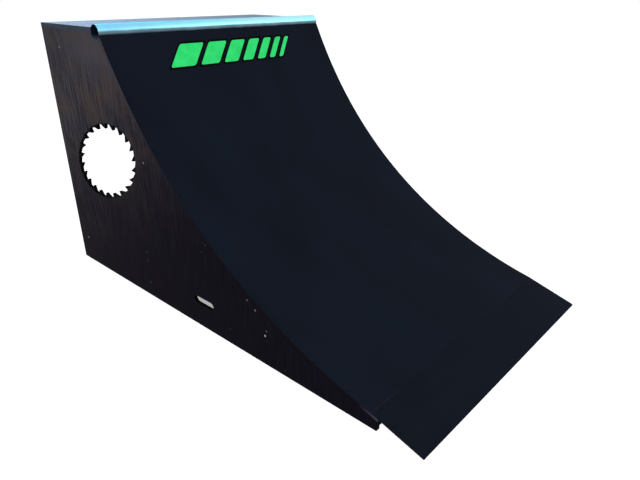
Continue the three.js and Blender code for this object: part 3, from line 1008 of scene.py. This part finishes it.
def makeUnderlay(nodeName):
    piece = copyOfNode(nodeName)
    easeEdges(piece, lambda e: isSharp(e) and isAtSide(e), underlay["easedEdge"])
    storeSheetPlace(piece, ramp["radius"] + ramp["topSheet"])
    paint(piece, underlayEdge)
    paint(piece, panelFilm, lambda f: f.normal.dot(towardCentre(f.center)) > faceOn)
    paint(piece, birchFace, lambda f: f.normal.dot(towardCentre(f.center)) < -faceOn)
    smooth(piece, degrees=25)
    handOver(piece, "underlay", nodeName)


def sheetTopAngle():
    # where the sheet stops, with its underside clear of the pipe
    under = ramp["radius"] + ramp["topSheet"]
    reach = math.hypot(pipeCentre.y - curveCentre.y, pipeCentre.z - curveCentre.z)
    clear = pipeRadius + ramp["gap"]
    return angleOf(pipeCentre) - math.acos((under**2 + reach**2 - clear**2) / (2 * under * reach))


def spinSheet():
    # the sheet's cross-section at the seam, spun up to the coping
    topAngle = sheetTopAngle()
    middle = onCurve(seamAngle, ramp["radius"] + ramp["topSheet"] / 2)
    clearSelection()
    bpy.ops.mesh.primitive_plane_add(size=1, location=middle, rotation=(seamAngle - math.pi / 2, 0, 0))
    bpy.context.object.scale = (ramp["width"], ramp["topSheet"], 1)
    sheet = startPiece("ridingSurface")
    bpy.ops.object.mode_set(mode="EDIT")
    bpy.ops.mesh.select_all(action="SELECT")
    bpy.ops.mesh.spin(
        steps=surface["steps"], angle=seamAngle - topAngle, axis=(1, 0, 0),
        center=(0, curveCentre.y, curveCentre.z),
    )
    bpy.ops.mesh.select_all(action="SELECT")
    bpy.ops.mesh.remove_doubles(threshold=touch)
    bpy.ops.mesh.normals_make_consistent(inside=False)
    bpy.ops.object.mode_set(mode="OBJECT")
    tell(f"riding surface spans {math.degrees(seamAngle):.2f} to {math.degrees(topAngle):.2f} degrees")
    return sheet


def screwRow(count, inset):
    reach = halfWidth - inset
    return [-reach + 2 * reach * i / (count - 1) for i in range(count)]


def surfaceScrewPlaces():
    joists = ["coping_joist", "sheet_joint_joist", "low_joist"] + numbered("transition_joist_")
    angles = [angleOf(boxMiddle(joist)) for joist in joists]
    columns = screwRow(surface["screwColumns"], surface["screwInset"])
    return [onCurve(angle, x=x) for angle in angles for x in columns]


def makeRidingSurface():
    sheet = spinSheet()
    places = surfaceScrewPlaces()
    outer = halfWidth - near
    lowerEnd = seamY + surface["endReach"]
    easeEdges(sheet, lambda e: isSharp(e) and isAtSide(e), surface["easedEdge"])
    cutCountersinks(sheet, places, towardCentre)
    storeSheetPlace(sheet, ramp["radius"])
    paint(sheet, resinSheet)
    paint(sheet, resinEdge, lambda f: abs(f.normal.x) > leansOn and abs(f.center.x) > outer)
    # the lower end takes the paler painted light of resinEnd
    paint(sheet, resinEnd, lambda f: f.normal.y < -leansOn and f.center.y < lowerEnd)
    smooth(sheet, degrees=25)
    handOver(sheet, "riding_surface", "riding_surface")
    master = modelScrew(surface["screwLength"], darkScrew, surface["screwScale"])
    driveScrews("surfaceScrews", master, places, towardCentre, surface["screwSunk"])


makeUnderlay("underlay_lower")
makeUnderlay("underlay_upper")
makeRidingSurface()
tell("riding surface and underlay are made")


# Timber frame

timber = {
    "easedEdge": 2.5 * mm,
    "longEdge": 500 * mm,  # only edges longer than this are eased
    "pithAlong": 3.0,  # a timber is cut from anywhere in this many metres of log, each way
    "pithAside": 50 * mm,
    "pithDepth": (30 * mm, 90 * mm),
}


def isLongEdge(edge):
    return isSharp(edge) and abs(edge.verts[0].co.x - edge.verts[1].co.x) > timber["longEdge"]


def storeTimberPlace(mesh):
    # each point's place in its log, where the pith runs along x some way from the timber
    broad = max(mesh.polygons, key=lambda f: f.area if abs(f.normal.x) < leansOn else 0)
    up = Vector(broad.normal)
    side = up.cross(Vector((1, 0, 0))).normalized()
    centre = sum((v.co for v in mesh.vertices), Vector()) / len(mesh.vertices)
    along = chance.uniform(-timber["pithAlong"], timber["pithAlong"])
    aside = chance.uniform(-timber["pithAside"], timber["pithAside"])
    pith = Vector((along, aside, chance.uniform(*timber["pithDepth"])))
    attribute = mesh.attributes.new("timberPlace", "FLOAT_VECTOR", "POINT")
    for item, vertex in zip(attribute.data, mesh.vertices):
        at = vertex.co - centre
        item.vector = Vector((at.x, at.dot(side), at.dot(up))) + pith


def makeTimber(nodeName):
    piece = copyOfNode(nodeName)
    easeEdges(piece, isLongEdge, timber["easedEdge"], segments=3)
    storeTimberPlace(piece.data)
    paint(piece, pine)
    if nodeName == "toe_rail":
        paint(piece, panelEdge, lambda f: f.normal.y < -leansOn)
    smooth(piece)
    handOver(piece, "timber", nodeName)


timberNodes = [s["node"] for s in frame["record"]["subparts"] if s["material_slot"] == "timber"]
for nodeName in timberNodes:
    makeTimber(nodeName)
tell(f"{len(timberNodes)} timbers are made")


# Toe plate

toePlate = {"easedEdge": 0.4 * mm, "screwLength": 35 * mm}


def makeToePlate():
    plate = copyOfNode("toe_plate")
    easeEdges(plate, lambda e: isSharp(e, degrees=12) and isAtSide(e), toePlate["easedEdge"])
    paint(plate, toeSteel)
    smooth(plate, degrees=25)
    handOver(plate, "toe_plate", "toe_plate")
    master = modelScrew(toePlate["screwLength"], darkScrew)
    normal = Vector((0, -math.sin(toeSlope), math.cos(toeSlope)))
    for node in numbered("toe_plate_screw_"):
        low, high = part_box(node)
        y = low.y + screw["headRadius"] * math.cos(toeSlope)
        z = high.z - screw["headRadius"] * math.sin(toeSlope)
        copy = driveScrew(master, camel(node), Vector((boxMiddle(node).x, y, z)), normal)
        handOver(copy, "screw", node)
    bpy.data.objects.remove(master)


makeToePlate()
tell("toe plate is made")


# Deck

deck = {
    "easedEdge": 1.2 * mm,
    "faceOn": 0.95,  # so that the first facet of an eased edge counts with its face
    "screwColumns": 5,
    "screwInset": 60 * mm,
    "screwLength": 45 * mm,
    "screwSunk": 0.25 * mm,
}


def straightUp(point):
    return (0, 0, 1)


def makeDeck():
    low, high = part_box("deck_sheet")
    clearSelection()
    bpy.ops.mesh.primitive_cube_add(size=1, location=(low + high) / 2)
    bpy.context.object.scale = high - low
    sheet = startPiece("deckSheet")
    easeEdges(sheet, lambda e: isSharp(e) and middleOf(e).z > high.z - near, deck["easedEdge"], segments=3)
    rows = [boxMiddle(joist).y for joist in ("deck_joist_front", "deck_joist_back")]
    columns = screwRow(deck["screwColumns"], deck["screwInset"])
    places = [Vector((x, y, high.z)) for y in rows for x in columns]
    cutCountersinks(sheet, places, straightUp)
    paint(sheet, deckTop)
    paint(sheet, panelEdge, lambda f: abs(f.normal.z) < deck["faceOn"])
    paint(sheet, panelFilm, facesDown)
    paint(sheet, deckEdge, lambda f: abs(f.normal.x) > deck["faceOn"])
    smooth(sheet)
    handOver(sheet, "deck", "deck_sheet")
    master = modelScrew(deck["screwLength"], darkScrew)
    driveScrews("deckScrews", master, places, straightUp, deck["screwSunk"])


makeDeck()
tell("deck is made")


# Coping

coping = {"wall": 3.2 * mm, "rimBevel": 0.8 * mm, "sides": 72}

bolt = {
    "headRadius": 7.5 * mm,
    "headHeight": 5.3 * mm,
    "rimBevel": 0.8 * mm,
    "shankRadius": 4 * mm,
    "shankSides": 24,
    "overlap": 1 * mm,  # of the shank into the head
    # painted glint, halfway
    "shine": 0.5,
}


def makeCoping():
    clearSelection()
    bpy.ops.mesh.primitive_cylinder_add(
        vertices=coping["sides"], radius=pipeRadius, depth=ramp["width"], location=pipeCentre,
        rotation=(0, math.pi / 2, 0), end_fill_type="NGON",
    )
    pipe = startPiece("copingPipe")
    bpy.ops.object.mode_set(mode="EDIT")
    choose(pipe, "FACE", lambda f: abs(f.normal.x) > faceOn)
    bpy.ops.mesh.inset(thickness=coping["wall"], use_individual=True)
    bpy.ops.mesh.bridge_edge_loops()
    bpy.ops.object.mode_set(mode="OBJECT")
    easeEdges(pipe, lambda e: isSharp(e, degrees=60), coping["rimBevel"], segments=3)
    paint(pipe, zincPipe)
    outside = pipeRadius - coping["rimBevel"]

    def isEndOrBore(face):
        return math.hypot(face.center.y - pipeCentre.y, face.center.z - pipeCentre.z) < outside

    paint(pipe, pipeEnd, isEndOrBore)
    smooth(pipe)
    handOver(pipe, "coping", "coping_pipe")


def makeBolt(node):
    low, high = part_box(node)
    centre = boxMiddle(node)
    clearSelection()
    bpy.ops.mesh.primitive_cylinder_add(
        vertices=6, radius=bolt["headRadius"], depth=bolt["headHeight"], end_fill_type="NGON",
        location=(centre.x, high.y - bolt["headHeight"] / 2, centre.z),
        rotation=(math.pi / 2, math.pi / 6, 0),
    )
    head = startPiece(camel(node))
    easeEdges(head, lambda e: isSharp(e, degrees=60) and middleOf(e).y > high.y - near, bolt["rimBevel"])
    clearSelection()
    length = high.y - low.y - bolt["headHeight"] + bolt["overlap"]
    bpy.ops.mesh.primitive_cylinder_add(
        vertices=bolt["shankSides"], radius=bolt["shankRadius"], depth=length, end_fill_type="NGON",
        location=(centre.x, low.y + length / 2, centre.z), rotation=(math.pi / 2, 0, 0),
    )
    combine(head, startPiece("shank"), "UNION")
    paint(head, paleScrew)
    setPaintedGlint(head, bolt["shine"])
    smooth(head)
    handOver(head, "screw", node)


makeCoping()
for nodeName in numbered("coping_bolt_"):
    makeBolt(nodeName)
tell("coping is made")


# Decal: a plain row of slanted bars that get narrower

decal = {
    "angle": 59.5,  # degrees, its middle on the curve
    "middle": 8 * mm,  # across the ramp
    "height": 96 * mm,
    "slant": 86 * mm,  # lean of a bar over its height
    "barWidths": [124 * mm, 100 * mm, 80 * mm, 62 * mm, 48 * mm, 36 * mm, 26 * mm],
    "barGap": 28 * mm,
    "barRows": 8,  # of faces, so that a bar can follow the curve
    "corner": 9 * mm,
    "cornerSteps": 4,
    "border": 9 * mm,
    "film": 0.12 * mm,
    "borderLift": 0.05 * mm,  # above the sheet
    "barLift": 0.25 * mm,
}


def makeBar(middle, width, height):
    clearSelection()
    bpy.ops.mesh.primitive_grid_add(
        x_subdivisions=2, y_subdivisions=decal["barRows"], size=1, location=(middle, 0, 0)
    )
    bpy.context.object.scale = (width, height, 1)
    bar = startPiece("bar")
    bpy.ops.object.mode_set(mode="EDIT")
    choose(bar, "VERT", lambda v: len(v.link_faces) == 1)
    bpy.ops.mesh.bevel(
        offset=decal["corner"], segments=decal["cornerSteps"], affect="VERTICES", clamp_overlap=False
    )
    rows = sorted({round(v.co.y, 6) for v in bmesh.from_edit_mesh(bar.data).verts})
    for row in rows:
        choose(bar, "VERT", lambda v: abs(v.co.y - row) < touch / 10)
        bpy.ops.transform.translate(value=(decal["slant"] * row / decal["height"], 0, 0))
    bpy.ops.object.mode_set(mode="OBJECT")
    return bar


def layOnCurve(bars, lift):
    angle = math.radians(decal["angle"])
    seat = Matrix.Translation(onCurve(angle, x=decal["middle"]))
    bars.data.transform(seat @ Matrix.Rotation(angle, 4, "X"))
    for vertex in bars.data.vertices:
        vertex.co = onCurve(angleOf(vertex.co), ramp["radius"] - lift, vertex.co.x)


def makeBars(name, grow, lift, material):
    widths = decal["barWidths"]
    left = -(sum(widths) + decal["barGap"] * (len(widths) - 1)) / 2
    pieces = []
    for width in widths:
        pieces.append(makeBar(left + width / 2, width + 2 * grow, decal["height"] + 2 * grow))
        left += width + decal["barGap"]
    bars = joinPieces(pieces, name)
    layOnCurve(bars, lift)
    modify(bars, "SOLIDIFY", thickness=decal["film"], offset=1.0)
    paint(bars, material)
    smooth(bars)
    handOver(bars, "riding_surface")


makeBars("decalBorder", decal["border"], decal["borderLift"], blackVinyl)
makeBars("decalBars", 0.0, decal["barLift"], greenVinyl)
tell("decal is laid")


stillShowing = [name for name, node in frame["nodes"].items() if not node.hide_render]
tell(f"CAD nodes still showing: {stillShowing}")
